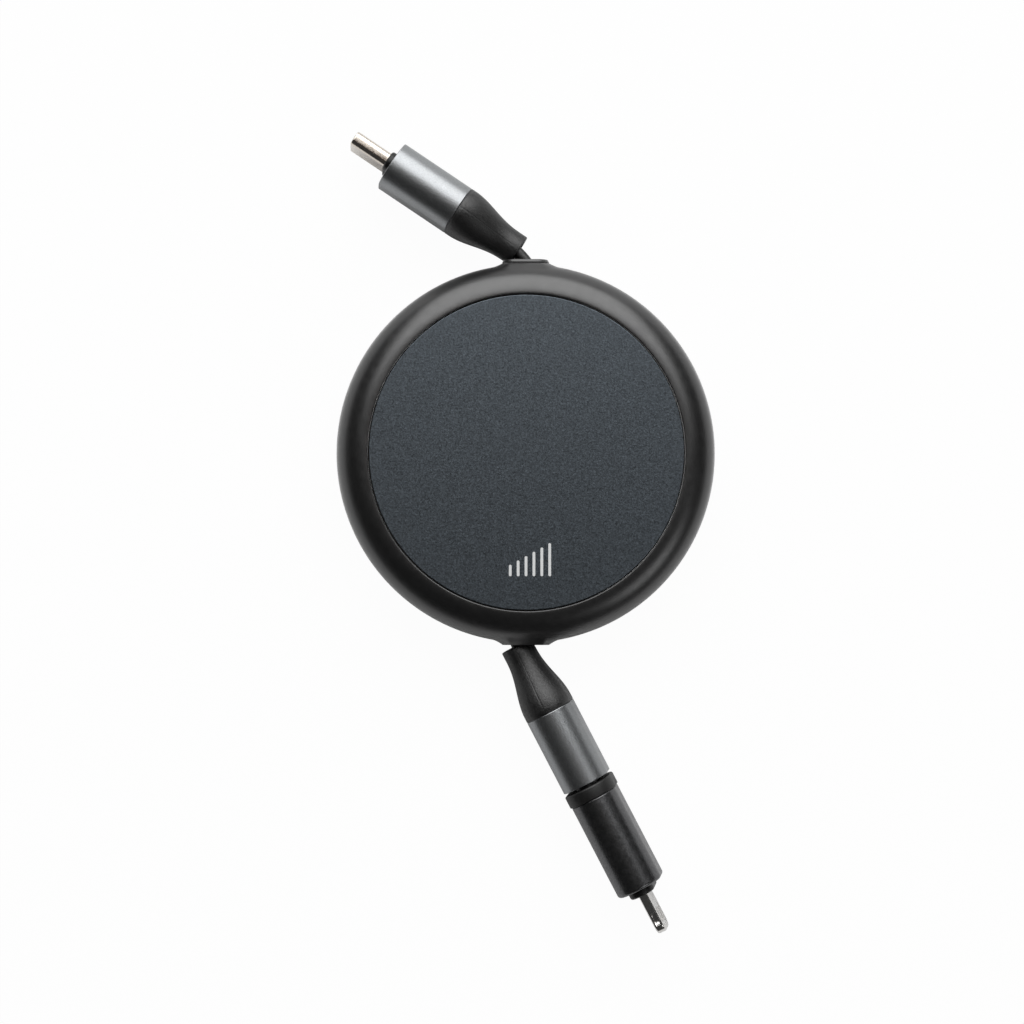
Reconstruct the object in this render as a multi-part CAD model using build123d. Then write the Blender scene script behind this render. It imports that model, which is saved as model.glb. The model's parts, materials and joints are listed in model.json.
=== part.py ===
from build123d import *
from math import acos, atan2, cos, hypot, pi, radians, sin, tan
import os

# A retractable charging cable, in millimetres.
# A round housing holds a sprung spool. A flat cable is wound on the spool from its middle,
# so both ends draw out of opposite mouths together. A push-on adapter sits on the lower plug.
# The origin is the centre of the flat rear face. +Z points out of the face plate and +Y to the upper mouth.

# Housing outline
housing_diameter = 60.0
face_rim = 5.0
rest_rim = 5.0
wall_at_waist = 3.4
floor_thickness = 1.6
web_thickness = 1.5
inner_corner = 1.0
lip_inset = 1.9
lip_width = 0.7
lip_height = 0.8
lip_clearance = 0.05

# Face plate
plate_thickness = 1.25
plate_recess = 0.15
plate_gap = 0.2
plate_chamfer = 0.25
tape_thickness = 0.2
tape_inset = 0.6

# Arbor and centre screw
arbor_radius = 2.6
thrust_ring_radius = 5.0
thrust_ring_height = 0.9
running_gap = 0.3
bearing_clearance = 0.05
screw_radius = 1.0
screw_length = 6.0
screw_head_radius = 2.0
screw_head_height = 1.0
screw_clearance = 0.05
screw_recess_length = 2.4
screw_recess_width = 0.55
screw_recess_depth = 0.6

# Spool
hub_radius = 9.2
hub_wall = 1.0
flange_gap = 0.4
flange_thickness = 0.9
cover_thickness = 1.8
cover_gap = 0.4

# Wound cable
cable_width = 4.6
cable_thickness = 1.8
cable_side_gap = 0.2
cable_lay_gap = 0.05
coil_inset = 2.2

# Power spring
spring_thickness = 0.3
spring_turns = 3
spring_side_gap = 0.25
spring_end_gap = 0.35
spring_slot_width = 0.6
spring_tab_reach = 0.9

# Lock ball and its track
ball_diameter = 2.0
ball_clearance = 0.1
lane_inset = 9.2
pocket_depth = 1.7
pocket_count = 8
pocket_lead_in = 9.0
track_depth = 0.9

# Cable mouths
mouth_width = 8.3
mouth_height = 9.1
mouth_flare = 2.2
mouth_root_width = 19.2
mouth_root_height = 9.5
passage_margin = 0.5
passage_half_width = 10.0
passage_overlap = 2.2
grommet_lip_width = 7.5
grommet_lip_height = 8.3
grommet_lip_thickness = 0.7
grommet_wall = 0.4
grommet_bore_width = 6.3
grommet_bore_height = 7.1
grommet_bore_round = 1.6
grommet_neck_length = 1.3
grommet_clearance = 0.03
grommet_edge = 0.25

# Plugs: relief, sleeve, base and tip, along each plug's own axis
relief_length = 11.6
relief_straight = 1.5
relief_shoulder = 0.8
relief_ease = 1.15
relief_narrow_width = 5.1
relief_narrow_height = 6.2
relief_sections = 4
relief_pocket_side = 0.65
relief_pocket_top = 0.25
relief_pocket_corner = 0.5
relief_pocket_depth = 4.0
relief_pocket_end_gap = 0.1
spigot_length = 1.8
sleeve_length = 12.75
sleeve_width = 7.75
sleeve_height = 11.6
sleeve_wall = 0.6
sleeve_edge = 0.15
joint_clearance = 0.03
base_depth = 2.7
base_boss_width = 3.3
base_boss_height = 9.6
base_boss_length = 0.9
base_boss_edge = 0.4
tip_width = 8.25
tip_thickness = 2.4
tip_wall = 0.3
tip_reach = 6.3
tip_seat = 2.2
tip_edge = 0.2
block_clearance = 0.04
block_setback = 0.6
slot_gap = 0.95
slot_width = 6.9
slot_depth = 4.4
contact_count = 12
contact_pitch = 0.5
contact_width = 0.26
contact_height = 0.08
contact_length = 3.6
board_thickness = 0.8
board_width = 7.0
chip_size = 3.0
chip_height = 0.9

# Adapter on the lower plug
adapter_gap = 0.45
collar_length = 2.05
collar_width = 8.05
collar_height = 11.95
collar_edge = 0.2
collar_recess_margin = 0.3
collar_spigot = 1.8
body_length = 16.2
body_width = 7.65
body_height = 11.5
body_wall = 0.55
body_end_wall = 1.2
body_edge = 0.5
socket_clearance = 0.1
socket_wall = 0.25
socket_floor = 1.8
socket_end_gap = 0.6
tongue_thickness = 0.6
tongue_width = 6.4
tongue_length = 5.0
tip_base_width = 4.2
tip_base_ledge = 1.05
tip_base_length = 1.05
tip_base_edge = 0.4
tip_base_flange = 1.1
blade_thickness = 1.5
blade_width = 6.7
blade_reach = 6.75
blade_seat = 1.6
blade_corner = 1.5
blade_notch_radius = 1.0
blade_notch_depth = 0.45
blade_notch_from_tip = 2.1
window_length = 3.4
window_side = 0.75
window_corner = 0.85
window_from_tip = 0.9
insulator_sink = 0.07
pad_count = 8
pad_side = 0.23
pad_width = 0.4
pad_length = 2.4

# Where each plug lies: its heading from +X, its roll, and how far the middle of its relief's
# narrow end is from its mouth's middle, to the right and out of the mouth
upper_heading = 146.15
upper_roll = 2.0
upper_end_aside = -1.10
upper_end_out = 2.36
lower_heading = -62.5
lower_roll = 9.0
lower_end_aside = -1.42
lower_end_out = 0.54
# Each lead runs from the wound cable to a turn inside its mouth, then to its relief
upper_turn_aside = 1.70
upper_turn_in = 1.70
lower_turn_aside = -2.20
lower_turn_in = 2.10
# A bend may use this share of the shorter run beside it
lead_bend_share = 0.45

# Sizes worked out from the ones above
housing_radius = housing_diameter / 2
face_radius = housing_radius - face_rim
rest_radius = housing_radius - rest_rim
cavity_radius = housing_radius - wall_at_waist
flange_radius = cavity_radius - flange_gap
coil_radius = flange_radius - coil_inset
lane_radius = flange_radius - lane_inset
mouth_face = housing_radius
mouth_root = mouth_face - mouth_flare
passage_start = cavity_radius - passage_overlap
upper_end = (upper_end_aside, mouth_face + upper_end_out)
lower_end = (lower_end_aside, -mouth_face - lower_end_out)
upper_turn = (upper_turn_aside, mouth_face - upper_turn_in)
lower_turn = (lower_turn_aside, lower_turn_in - mouth_face)
flange_bottom = floor_thickness + thrust_ring_height + running_gap
hub_bottom = flange_bottom + flange_thickness
cable_bottom = hub_bottom + cable_side_gap
cable_level = cable_bottom + cable_width / 2
hub_top = cable_bottom + cable_width + cable_side_gap
cover_top = hub_top + cover_thickness
web_bottom = cover_top + cover_gap
seat_level = web_bottom + web_thickness
plate_bottom = seat_level + tape_thickness
plate_top = plate_bottom + plate_thickness
housing_thickness = plate_top + plate_recess
hub_inner = hub_radius - hub_wall
bore_radius = arbor_radius + bearing_clearance
ball_level = cover_top - track_depth + ball_clearance + ball_diameter / 2
slot_depth_in_web = ball_level + ball_diameter / 2 + ball_clearance - web_bottom
track_width = ball_diameter + 2 * ball_clearance
seam_level = cable_level
neck_width = grommet_bore_width + 2 * grommet_wall
neck_height = grommet_bore_height + 2 * grommet_wall
neck_end = mouth_face - grommet_neck_length
lead_radius = coil_radius + cable_thickness / 2 + cable_lay_gap
sleeve_start = relief_length
sleeve_end = sleeve_start + sleeve_length
boss_end = sleeve_end + base_boss_length
tip_start = sleeve_end - tip_seat
tip_end = boss_end + tip_reach
block_start = tip_start + block_setback
block_end = tip_end - block_setback
board_start = sleeve_start + spigot_length
collar_start = sleeve_end + adapter_gap
collar_end = collar_start + collar_length
body_end = collar_end + body_length
socket_width = tip_thickness + 2 * socket_clearance
socket_height = tip_width + 2 * socket_clearance
socket_start = boss_end + collar_recess_margin
socket_back = tip_end + socket_end_gap
socket_end = socket_back + socket_floor
tip_base_height = body_height - 2 * tip_base_ledge
tip_base_end = body_end + tip_base_length
blade_end = tip_base_end + blade_reach
window_width = blade_width - 2 * window_side
pad_pitch = (window_width - 2 * pad_side - pad_width) / (pad_count - 1)


def ring(outer, inner, bottom, top):
    """A round ring or sleeve about the housing's axis."""
    return Pos(0, 0, bottom) * extrude(Circle(outer) - Circle(inner), top - bottom)


def disc(radius, bottom, top):
    """A solid round about the housing's axis."""
    return Pos(0, 0, bottom) * extrude(Circle(radius), top - bottom)


def oval(across, tall):
    """A plug's cross-section: flat sides, round top and bottom."""
    return SlotOverall(tall, across, rotation=90)


def oval_bar(across, tall, start, end):
    """An oval bar along a plug's axis."""
    return Pos(0, 0, start) * extrude(oval(across, tall), end - start)


def plug_plane(end, heading, roll):
    """The plane across a plug's axis at its relief's narrow end, +Y of the plane upwards, then rolled."""
    way = radians(heading)
    tilt = radians(roll)
    across = (-sin(way) * cos(tilt), cos(way) * cos(tilt), sin(tilt))
    return Plane((end[0], end[1], cable_level), x_dir=across, z_dir=(cos(way), sin(way), 0))


def mouth_plane(reach):
    """The plane across the upper mouth at this distance from the housing's axis."""
    return Plane((0, reach, cable_level), x_dir=(-1, 0, 0), z_dir=(0, 1, 0))


def bore_corner(width):
    """The corner radius that follows the grommet's bore at this width."""
    return grommet_bore_round + (width - grommet_bore_width) / 2


def mouth_bar(width, height, start, end):
    """A bar through the upper mouth, with corners that follow the grommet's bore."""
    section = RectangleRounded(width, height, bore_corner(width))
    return extrude(mouth_plane(start) * section, end - start)


def both_mouths(shape):
    """A shape at the upper mouth and its twin at the lower one."""
    return [shape, Rot(0, 0, 180) * shape]


# Housing

def housing_half(rim_edge, flat_level):
    """One cover's outer form: a round-sided half puck, widest at the seam, with two flared half mouths."""
    waist = (housing_radius, seam_level)
    rim = TangentArc(waist, rim_edge, tangent=(0, flat_level - seam_level))
    closing = Polyline(rim_edge, (0, flat_level), (0, seam_level), waist)
    puck = revolve(Plane.XZ * make_face(rim.edges() + closing.edges()), Axis.Z)
    corner = bore_corner(mouth_width)
    face = RectangleRounded(mouth_width, mouth_height, corner)
    root = RectangleRounded(mouth_root_width, mouth_root_height, corner)
    flare = loft([mouth_plane(mouth_root) * root, mouth_plane(mouth_face) * face])
    side = Keep.TOP if flat_level > seam_level else Keep.BOTTOM
    flares = both_mouths(split(flare, bisect_by=Plane.XY.offset(seam_level), keep=side))
    return puck + flares[0] + flares[1]


def mouth_cuts():
    """What each mouth takes out of the covers: the grommet's seat and the flared passage behind it."""
    seat_width = neck_width + 2 * grommet_clearance
    seat_height = neck_height + 2 * grommet_clearance
    seat = mouth_bar(seat_width, seat_height, neck_end, mouth_face + grommet_neck_length)
    throat = neck_width / 2
    plan = Polyline(
        (-passage_half_width, passage_start),
        (passage_half_width, passage_start),
        (throat, neck_end),
        (-throat, neck_end),
        close=True,
    )
    passage_height = cable_width + 2 * passage_margin
    passage = Pos(0, 0, cable_level - passage_height / 2) * extrude(make_face(plan), passage_height)
    return both_mouths(seat + passage)


def rear_cover():
    """Floor, lower half of the rim, thrust ring and the arbor that the spool turns on."""
    cover = housing_half((rest_radius, 0), 0)
    cavity = disc(cavity_radius, floor_thickness, 2 * housing_thickness)
    floor_rim = cavity.edges().group_by(Axis.Z)[0]
    cover -= chamfer(floor_rim, inner_corner)
    lip_outer = housing_radius - lip_inset
    cover += ring(lip_outer, lip_outer - lip_width, seam_level, seam_level + lip_height)
    for cut in mouth_cuts():
        cover -= cut
    cover += disc(thrust_ring_radius, floor_thickness, floor_thickness + thrust_ring_height)
    cover += disc(arbor_radius, floor_thickness, web_bottom)
    pilot_depth = screw_length - web_thickness + screw_head_height + running_gap
    cover -= disc(screw_radius + screw_clearance, web_bottom - pilot_depth, web_bottom)
    slot_sides = (Align.MIN, Align.CENTER, Align.MIN)
    tab_slot = Box(arbor_radius, spring_slot_width, hub_top - hub_bottom, align=slot_sides)
    return cover - Pos(screw_radius + screw_clearance, 0, hub_bottom) * tab_slot


def front_cover():
    """Upper half of the rim, with the web that carries the face plate and guides the lock ball."""
    cover = housing_half((face_radius, housing_thickness), housing_thickness)
    cover -= disc(cavity_radius, 0, web_bottom)
    cover -= disc(face_radius, seat_level, 2 * housing_thickness)
    lip_outer = housing_radius - lip_inset + lip_clearance
    lip_inner = housing_radius - lip_inset - lip_width - lip_clearance
    cover -= ring(lip_outer, lip_inner, seam_level, seam_level + lip_height + lip_clearance)
    for cut in mouth_cuts():
        cover -= cut
    head_space = screw_head_height + screw_clearance
    cover -= disc(screw_head_radius + screw_clearance, seat_level - head_space, seat_level)
    cover -= disc(screw_radius + screw_clearance, web_bottom, seat_level)
    guide = SlotCenterToCenter(pocket_depth, track_width)
    guide_middle = lane_radius - pocket_depth / 2
    return cover - Pos(guide_middle, 0, web_bottom) * extrude(guide, slot_depth_in_web)


def face_plate():
    """The disc in the front cover, with its bright chamfer."""
    plate = disc(face_radius - plate_gap, plate_bottom, plate_top)
    return chamfer(plate.edges().group_by(Axis.Z)[-1], plate_chamfer)


def plate_tape():
    """The adhesive sheet under the face plate."""
    return disc(face_radius - plate_gap - tape_inset, seat_level, plate_bottom)


def centre_screw():
    """The screw through the web into the arbor, under the face plate."""
    head_top = seat_level - screw_clearance
    head_bottom = head_top - screw_head_height + screw_clearance
    screw = disc(screw_head_radius, head_bottom, head_top)
    screw += disc(screw_radius, head_bottom - screw_length, head_bottom)
    bar = Box(screw_recess_length, screw_recess_width, 2 * screw_recess_depth)
    return screw - Pos(0, 0, head_top) * (bar + Rot(0, 0, 90) * bar)


def grommet():
    """The lip and neck that line the upper mouth."""
    lip_end = mouth_face + grommet_lip_thickness
    body = mouth_bar(grommet_lip_width, grommet_lip_height, mouth_face, lip_end)
    body += mouth_bar(neck_width, neck_height, neck_end, mouth_face)
    body -= mouth_bar(grommet_bore_width, grommet_bore_height, neck_end, lip_end)
    return chamfer(body.faces().sort_by(Axis.Y)[-1].edges(), grommet_edge)


# Reel

def spool():
    """Lower flange and hub. The hub's slot takes the outer end of the spring."""
    body = ring(flange_radius, bore_radius, flange_bottom, hub_bottom)
    body += ring(hub_radius, hub_inner, hub_bottom, hub_top)
    slot_sides = (Align.CENTER, Align.CENTER, Align.MIN)
    slot = Box(2 * hub_wall, spring_slot_width, hub_top - hub_bottom, align=slot_sides)
    return body - Pos(hub_inner, 0, hub_bottom) * slot


def spool_cover():
    """Upper flange with the lock ball's lane and its pockets."""
    body = ring(flange_radius, bore_radius, hub_top, cover_top)
    floor = cover_top - track_depth
    half = track_width / 2
    body -= ring(lane_radius + half, lane_radius - half, floor, cover_top)
    pocket = make_hull(
        (Pos(lane_radius - pocket_depth, 0) * Circle(half)).edges()
        + (Pos(lane_radius, 0) * Circle(half)).edges()
        + (Rot(0, 0, pocket_lead_in) * Pos(lane_radius, 0) * Circle(half)).edges()
    )
    pocket_cut = Pos(0, 0, floor) * extrude(pocket, track_depth)
    for index in range(pocket_count):
        body -= Rot(0, 0, index * 360 / pocket_count) * pocket_cut
    return body


def power_spring():
    """A flat spiral of half circles about two centres, from the arbor to the hub."""
    inner = arbor_radius + spring_end_gap
    outer = hub_inner - spring_end_gap - spring_thickness
    step = (outer - inner) / (2 * spring_turns)
    strip = Sketch()
    for half_turn in range(2 * spring_turns):
        radius = inner + (half_turn + 0.5) * step
        centre = step / 2 if half_turn % 2 else 0
        band = Circle(radius + spring_thickness) - Circle(radius)
        side = Align.MAX if half_turn % 2 else Align.MIN
        window = Rectangle(4 * outer, 2 * outer, align=(Align.CENTER, side))
        strip += Pos(centre, 0) * (band & window)
    first = inner + 0.5 * step
    last = inner + (2 * spring_turns - 0.5) * step + step / 2
    ends = (Align.MIN, Align.CENTER)
    tab = Rectangle(first - arbor_radius + spring_tab_reach, spring_thickness, align=ends)
    strip += Pos(arbor_radius - spring_tab_reach, 0) * tab
    hook = Rectangle(hub_inner + spring_tab_reach - last, spring_thickness, align=ends)
    strip += Pos(last, 0) * hook
    height = hub_top - hub_bottom - 2 * spring_side_gap
    return Pos(0, 0, hub_bottom + spring_side_gap) * extrude(strip, height)


def cable_coil():
    """The turns of cable on the hub, as one body."""
    return ring(coil_radius, hub_radius + cable_lay_gap, cable_bottom, cable_bottom + cable_width)


def lock_ball():
    """The ball between the web's guide and the cover's lane."""
    return Pos(lane_radius, 0, ball_level) * Sphere(ball_diameter / 2)


# Cable leads

def lead_start(turn):
    """Where a straight lead to this turn leaves the wound cable."""
    bearing = atan2(turn[1], turn[0]) - acos(lead_radius / hypot(*turn))
    return (lead_radius * cos(bearing), lead_radius * sin(bearing))


def cable_lead(turn, end, heading):
    """A flat cable from the wound turns, through its mouth and into its relief."""
    way = radians(heading)
    inside = relief_pocket_depth - relief_pocket_end_gap
    last = (end[0] + inside * cos(way), end[1] + inside * sin(way))
    start = lead_start(turn)
    points = [start, turn, end, last]
    radii = []
    for before, here, after in zip(points, points[1:], points[2:]):
        arriving = atan2(here[1] - before[1], here[0] - before[0])
        leaving = atan2(after[1] - here[1], after[0] - here[0])
        bend = abs((leaving - arriving + pi) % (2 * pi) - pi)
        run_in = hypot(here[0] - before[0], here[1] - before[1])
        run_out = hypot(after[0] - here[0], after[1] - here[1])
        radii.append(lead_bend_share * min(run_in, run_out) / tan(bend / 2))
    path = Pos(0, 0, cable_level) * FilletPolyline(*points, radius=radii)
    first_way = (points[1][0] - start[0], points[1][1] - start[1], 0)
    section = Rectangle(cable_width, cable_thickness)
    across = Plane((start[0], start[1], cable_level), x_dir=(0, 0, 1), z_dir=first_way)
    return sweep(across * section, path=path)


# Plugs, modelled along +Z from the relief's narrow end

def strain_relief():
    """The moulded taper, with a blind slot for the cable and a spigot inside the sleeve."""
    sections = [oval(relief_narrow_width, relief_narrow_height)]
    taper = relief_length - relief_straight - relief_shoulder
    for index in range(relief_sections + 1):
        along = index / relief_sections
        share = (1 - cos(pi * along ** relief_ease)) / 2
        across = relief_narrow_width + share * (sleeve_width - relief_narrow_width)
        tall = relief_narrow_height + share * (sleeve_height - relief_narrow_height)
        sections.append(Pos(0, 0, relief_straight + along * taper) * oval(across, tall))
    sections.append(Pos(0, 0, relief_length) * oval(sleeve_width, sleeve_height))
    body = loft(sections)
    fit = 2 * (sleeve_wall + joint_clearance)
    body += oval_bar(sleeve_width - fit, sleeve_height - fit, relief_length, relief_length + spigot_length)
    pocket_width = cable_thickness + 2 * relief_pocket_side
    pocket_height = cable_width + 2 * relief_pocket_top
    pocket = RectangleRounded(pocket_width, pocket_height, relief_pocket_corner)
    return body - extrude(pocket, relief_pocket_depth)


def plug_sleeve():
    """The oval tube round the plug's works."""
    tube = oval_bar(sleeve_width, sleeve_height, sleeve_start, sleeve_end)
    tube = chamfer(tube.faces().sort_by(Axis.Z)[-1].edges(), sleeve_edge)
    wall = 2 * sleeve_wall
    return tube - oval_bar(sleeve_width - wall, sleeve_height - wall, sleeve_start, sleeve_end)


def plug_base():
    """The block in the sleeve's end and the step that stands proud of it."""
    fit = 2 * (sleeve_wall + joint_clearance)
    body = oval_bar(sleeve_width - fit, sleeve_height - fit, sleeve_end - base_depth, sleeve_end)
    step = oval_bar(base_boss_width, base_boss_height, sleeve_end, boss_end)
    body += chamfer(step.faces().sort_by(Axis.Z)[-1].edges(), base_boss_edge)
    hole = 2 * joint_clearance
    return body - oval_bar(tip_thickness + hole, tip_width + hole, sleeve_end - base_depth, boss_end)


def plug_tube():
    """The polished oval tube of the tip."""
    tube = oval_bar(tip_thickness, tip_width, tip_start, tip_end)
    tube = chamfer(tube.faces().sort_by(Axis.Z)[-1].edges(), tip_edge)
    wall = 2 * tip_wall
    return tube - oval_bar(tip_thickness - wall, tip_width - wall, tip_start, tip_end)


def contact_block():
    """The insulator in the tip, open at the front for a socket's tongue."""
    fit = 2 * (tip_wall + block_clearance)
    body = oval_bar(tip_thickness - fit, tip_width - fit, block_start, block_end)
    slot = Box(slot_gap, slot_width, slot_depth, align=(Align.CENTER, Align.CENTER, Align.MAX))
    return body - Pos(0, 0, block_end) * slot


def contact_row(side):
    """One row of contact strips on a wall of the block's slot."""
    sides = (Align.MAX, Align.CENTER, Align.MAX)
    strip = Box(contact_height, contact_width, contact_length, align=sides)
    row = []
    for index in range(contact_count):
        place = (index - (contact_count - 1) / 2) * contact_pitch
        row.append(Rot(0, 0, side) * Pos(slot_gap / 2, place, block_end) * strip)
    return row


def contacts():
    """Both rows of contact strips, as separate solids."""
    return Compound(children=contact_row(0) + contact_row(180))


def plug_board():
    """The circuit board between the spigot and the contact block."""
    sides = (Align.CENTER, Align.CENTER, Align.MIN)
    board = Box(board_thickness, board_width, block_start - board_start, align=sides)
    return Pos(0, 0, board_start) * board


def board_chip(middle):
    """A chip on a board's face."""
    chip = Box(chip_height, chip_size, chip_size, align=(Align.MIN, Align.CENTER, Align.CENTER))
    return Pos(board_thickness / 2, 0, middle) * chip


# Adapter, in the lower plug's own frame

def adapter_collar():
    """The ring that meets the plug's sleeve, with a spigot inside the adapter's body."""
    body = oval_bar(collar_width, collar_height, collar_start, collar_end)
    body = chamfer(body.faces().sort_by(Axis.Z)[0].edges(), collar_edge)
    fit = 2 * (body_wall + joint_clearance)
    body += oval_bar(body_width - fit, body_height - fit, collar_end, collar_end + collar_spigot)
    margin = 2 * collar_recess_margin
    body -= oval_bar(base_boss_width + margin, base_boss_height + margin, collar_start, socket_start)
    seat = 2 * (socket_wall + joint_clearance)
    spigot_end = collar_end + collar_spigot
    return body - oval_bar(socket_width + seat, socket_height + seat, socket_start, spigot_end)


def adapter_body():
    """The adapter's oval shell with a closed, rounded end."""
    shell = oval_bar(body_width, body_height, collar_end, body_end)
    shell = chamfer(shell.faces().sort_by(Axis.Z)[-1].edges(), body_edge)
    wall = 2 * body_wall
    shell -= oval_bar(body_width - wall, body_height - wall, collar_end, body_end - body_end_wall)
    hole = 2 * joint_clearance
    return shell - oval_bar(tip_base_width + hole, tip_base_height + hole, collar_end, body_end)


def adapter_socket_tube():
    """The metal tube that takes the lower plug's tip."""
    wall = 2 * socket_wall
    tube = oval_bar(socket_width + wall, socket_height + wall, socket_start, socket_end)
    return tube - oval_bar(socket_width, socket_height, socket_start, socket_end)


def adapter_socket_tongue():
    """The socket's floor and the tongue that enters the plug's slot."""
    fit = 2 * joint_clearance
    floor = oval_bar(socket_width - fit, socket_height - fit, socket_back, socket_end)
    sides = (Align.CENTER, Align.CENTER, Align.MAX)
    tongue = Box(tongue_thickness, tongue_width, tongue_length, align=sides)
    return floor + Pos(0, 0, socket_back) * tongue


def adapter_board():
    """The circuit board between the socket and the tip's base."""
    reach = body_end - body_end_wall - tip_base_flange - socket_end
    board = Box(board_thickness, board_width, reach, align=(Align.CENTER, Align.CENTER, Align.MIN))
    return Pos(0, 0, socket_end) * board


def adapter_tip_base():
    """The step that carries the blade, with a flange inside the body."""
    flange_start = body_end - body_end_wall - tip_base_flange
    fit = 2 * (body_wall + joint_clearance)
    flange_end = flange_start + tip_base_flange
    body = oval_bar(body_width - fit, body_height - fit, flange_start, flange_end)
    step = oval_bar(tip_base_width, tip_base_height, flange_end, tip_base_end)
    body += chamfer(step.faces().sort_by(Axis.Z)[-1].edges(), tip_base_edge)
    hole = 2 * joint_clearance
    seat_start = tip_base_end - blade_seat
    return body - oval_bar(blade_thickness + hole, blade_width + hole, seat_start, tip_base_end)


def window_cut():
    """The opening through the blade for its insulator, along X."""
    window = RectangleRounded(window_width, window_length, window_corner)
    middle = blade_end - window_from_tip - window_length / 2
    return Plane((0, 0, middle), x_dir=(0, 1, 0), z_dir=(1, 0, 0)) * window


def adapter_blade():
    """The flat metal tip with round edges, round corners and a catch notch on each edge."""
    start = tip_base_end - blade_seat
    length = blade_end - start
    blade = oval_bar(blade_thickness, blade_width, start, blade_end)
    outline = Rectangle(blade_width, length)
    outline = fillet(outline.vertices().group_by(Axis.Y)[-1], blade_corner)
    face = Plane((0, 0, start + length / 2), x_dir=(0, 1, 0), z_dir=(1, 0, 0))
    blade &= extrude(face * outline, blade_thickness, both=True)
    notch = Rot(0, 90, 0) * Cylinder(blade_notch_radius, 2 * blade_thickness)
    middle = blade_width / 2 + blade_notch_radius - blade_notch_depth
    for side in (-middle, middle):
        blade -= Pos(0, side, blade_end - blade_notch_from_tip) * notch
    return blade - extrude(window_cut(), blade_thickness, both=True)


def adapter_blade_insulator():
    """The dark insert in the blade's window."""
    return extrude(window_cut(), blade_thickness / 2 - insulator_sink, both=True)


def adapter_blade_pads():
    """The row of flush contacts on each face of the insulator, as separate solids."""
    pad = Box(insulator_sink, pad_width, pad_length, align=(Align.MIN, Align.CENTER, Align.CENTER))
    middle = blade_end - window_from_tip - window_length / 2
    pads = []
    for side in (0, 180):
        for index in range(pad_count):
            place = (index - (pad_count - 1) / 2) * pad_pitch
            spot = Pos(blade_thickness / 2 - insulator_sink, place, middle)
            pads.append(Rot(0, 0, side) * spot * pad)
    return Compound(children=pads)


def plug_nodes(name, frame):
    """The pieces of one plug, in place."""
    shapes = {
        "strain_relief": strain_relief(),
        "sleeve": plug_sleeve(),
        "plug_base": plug_base(),
        "plug_tube": plug_tube(),
        "contact_block": contact_block(),
        "contacts": contacts(),
        "board": plug_board(),
        "chip": board_chip((board_start + block_start) / 2),
    }
    return {f"{name}_{piece}": frame.location * shape for piece, shape in shapes.items()}


def adapter_nodes(frame):
    """The pieces of the adapter, in place on the lower plug."""
    board_middle = (socket_end + body_end - body_end_wall - tip_base_flange) / 2
    shapes = {
        "collar": adapter_collar(),
        "body": adapter_body(),
        "socket_tube": adapter_socket_tube(),
        "socket_tongue": adapter_socket_tongue(),
        "board": adapter_board(),
        "chip": board_chip(board_middle),
        "tip_base": adapter_tip_base(),
        "blade": adapter_blade(),
        "blade_insulator": adapter_blade_insulator(),
        "blade_pads": adapter_blade_pads(),
    }
    return {f"adapter_{piece}": frame.location * shape for piece, shape in shapes.items()}


def all_nodes():
    """Every piece of the object, by name."""
    upper = plug_plane(upper_end, upper_heading, upper_roll)
    lower = plug_plane(lower_end, lower_heading, lower_roll)
    lips = both_mouths(grommet())
    nodes = {
        "rear_cover": rear_cover(),
        "front_cover": front_cover(),
        "face_plate": face_plate(),
        "plate_tape": plate_tape(),
        "centre_screw": centre_screw(),
        "upper_grommet": lips[0],
        "lower_grommet": lips[1],
        "spool": spool(),
        "spool_cover": spool_cover(),
        "power_spring": power_spring(),
        "cable_coil": cable_coil(),
        "lock_ball": lock_ball(),
        "upper_cable": cable_lead(upper_turn, upper_end, upper_heading),
        "lower_cable": cable_lead(lower_turn, lower_end, lower_heading),
    }
    nodes.update(plug_nodes("upper", upper))
    nodes.update(plug_nodes("lower", lower))
    nodes.update(adapter_nodes(lower))
    return nodes


os.makedirs("parts", exist_ok=True)
for node, shape in all_nodes().items():
    export_step(shape, f"parts/{node}.step")
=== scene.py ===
"""Looks of a retractable charging cable: fine shells, leads, finishes and a studio stage."""
import json
from math import acos, atan2, cos, degrees, pi, radians, sin

import bmesh
import bpy
from bpy.props import FloatProperty, FloatVectorProperty, IntProperty, PointerProperty
from mathutils import Matrix, Vector


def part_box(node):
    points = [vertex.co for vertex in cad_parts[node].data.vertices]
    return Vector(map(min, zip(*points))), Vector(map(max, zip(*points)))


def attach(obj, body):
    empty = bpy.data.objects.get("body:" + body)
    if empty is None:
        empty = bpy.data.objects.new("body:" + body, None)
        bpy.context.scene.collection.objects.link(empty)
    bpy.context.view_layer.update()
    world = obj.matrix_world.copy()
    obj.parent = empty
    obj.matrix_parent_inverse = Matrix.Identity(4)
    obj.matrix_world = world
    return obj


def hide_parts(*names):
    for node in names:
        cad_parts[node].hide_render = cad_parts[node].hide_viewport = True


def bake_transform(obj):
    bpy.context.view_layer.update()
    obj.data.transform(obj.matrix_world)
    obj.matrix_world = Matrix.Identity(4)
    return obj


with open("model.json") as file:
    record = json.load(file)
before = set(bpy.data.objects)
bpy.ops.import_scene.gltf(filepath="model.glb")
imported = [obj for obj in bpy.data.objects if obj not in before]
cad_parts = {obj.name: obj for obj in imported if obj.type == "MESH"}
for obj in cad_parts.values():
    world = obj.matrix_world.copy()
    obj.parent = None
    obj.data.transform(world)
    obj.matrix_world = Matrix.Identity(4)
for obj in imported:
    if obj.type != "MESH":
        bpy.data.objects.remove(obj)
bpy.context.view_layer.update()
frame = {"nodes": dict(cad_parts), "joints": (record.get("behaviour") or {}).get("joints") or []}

bl_info = {
    "name": "Retractable charging cable",
    "version": (1, 0, 0),
    "blender": (4, 5, 0),
    "location": "View3D > Sidebar > Cable",
    "description": "Dresses the cable's CAD frame with shells, leads, finishes and a stage",
    "category": "Object",
}

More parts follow.
